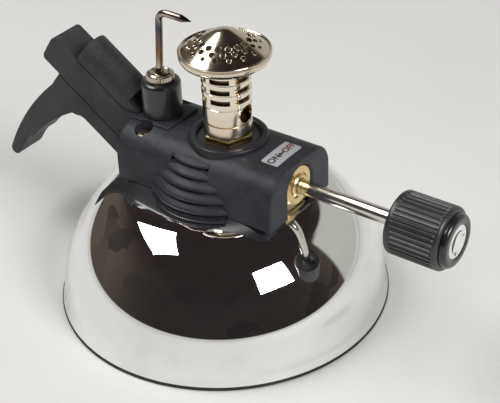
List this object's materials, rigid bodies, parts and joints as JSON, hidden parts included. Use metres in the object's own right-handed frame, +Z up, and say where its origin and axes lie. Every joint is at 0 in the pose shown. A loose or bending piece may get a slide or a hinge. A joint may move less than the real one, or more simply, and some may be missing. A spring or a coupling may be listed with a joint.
{
  "type": "butane micro burner",
  "caption": "Tabletop gas burner: domed plated tank, ribbed dark housing, slotted burner tube with a mushroom cap, spark electrode, inclined trigger arm and a long valve spindle with a knob.",
  "frame": {"origin": "on the table under the middle of the object's length, on its middle plane", "axes": "+X towards the knob along the valve spindle, +Z up out of the table, +Y across"},
  "size_m": [0.1434, 0.09, 0.0791],
  "materials": {
    "chrome": "polished plating",
    "foot_rubber": "matte",
    "plate_steel": "rolled sheet",
    "brass": "turned",
    "seal_rubber": "matte",
    "spring_steel": "drawn wire",
    "spindle_steel": "ground",
    "knob_plastic": "satin",
    "ring_plastic": "gloss",
    "disc_plastic": "printed",
    "tube_nickel": "plated, heat tinted",
    "cap_nickel": "plated, satin",
    "sleeve_metal": "heat browned",
    "gauze_steel": "woven",
    "collar_paint": "satin black",
    "housing_plastic": "fine texture",
    "arm_plastic": "fine texture",
    "screw_steel": "plated",
    "label_foil": "printed foil",
    "electrode_steel": "heat tinted",
    "ferrule_nickel": "plated, knurled",
    "insulator_glaze": "glazed black",
    "piezo_plastic": "moulded",
    "lead_plastic": "insulated wire"
  },
  "bodies": {
    "burner": {"tank_shell": "chrome", "foot_ring": "foot_rubber", "base_plate": "plate_steel", "tank_neck": "brass", "fill_valve_body": "brass", "valve_body": "brass", "gland_nut": "brass", "gas_jet": "brass", "burner_nut": "brass", "neck_seal": "seal_rubber", "fill_valve_seal": "seal_rubber", "stem_seal": "seal_rubber", "fill_valve_spring": "spring_steel", "piezo_spring": "spring_steel", "burner_tube": "tube_nickel", "burner_cap": "cap_nickel", "burner_sleeve": "sleeve_metal", "cap_gauze": "gauze_steel", "collar": "collar_paint", "housing": "housing_plastic", "rear_cover": "housing_plastic", "igniter_case": "arm_plastic", "cover_screw": "screw_steel", "label": "label_foil", "electrode_wire": "electrode_steel", "electrode_ferrule": "ferrule_nickel", "electrode_insulator": "insulator_glaze", "piezo_body": "piezo_plastic", "ignition_lead": "lead_plastic"},
    "valve_spindle": {"valve_stem": "spindle_steel", "knob": "knob_plastic", "knob_ring": "ring_plastic", "knob_disc": "disc_plastic"},
    "trigger": {"trigger": "arm_plastic", "piezo_plunger": "brass"},
    "fill_stem": {"fill_valve_stem": "brass"}
  },
  "joints": [
    {"name": "valve_turn", "type": "hinge", "parent": "burner", "child": "valve_spindle", "pos_m": [0, 0, 0.0409], "axis": [1, 0, 0], "range_deg": [0, 270]},
    {"name": "trigger_slide", "type": "slide", "parent": "burner", "child": "trigger", "axis": [-0.8281, 0, 0.5606], "range_m": [0, 0.006], "stiffness_N_per_m": 1200, "springref_m": -0.003, "deforming": ["piezo_spring"]},
    {"name": "fill_stem_press", "type": "slide", "parent": "burner", "child": "fill_stem", "axis": [0, 0, 1], "range_m": [0, 0.0015], "stiffness_N_per_m": 600, "springref_m": -0.002, "deforming": ["fill_valve_spring"]}
  ]
}
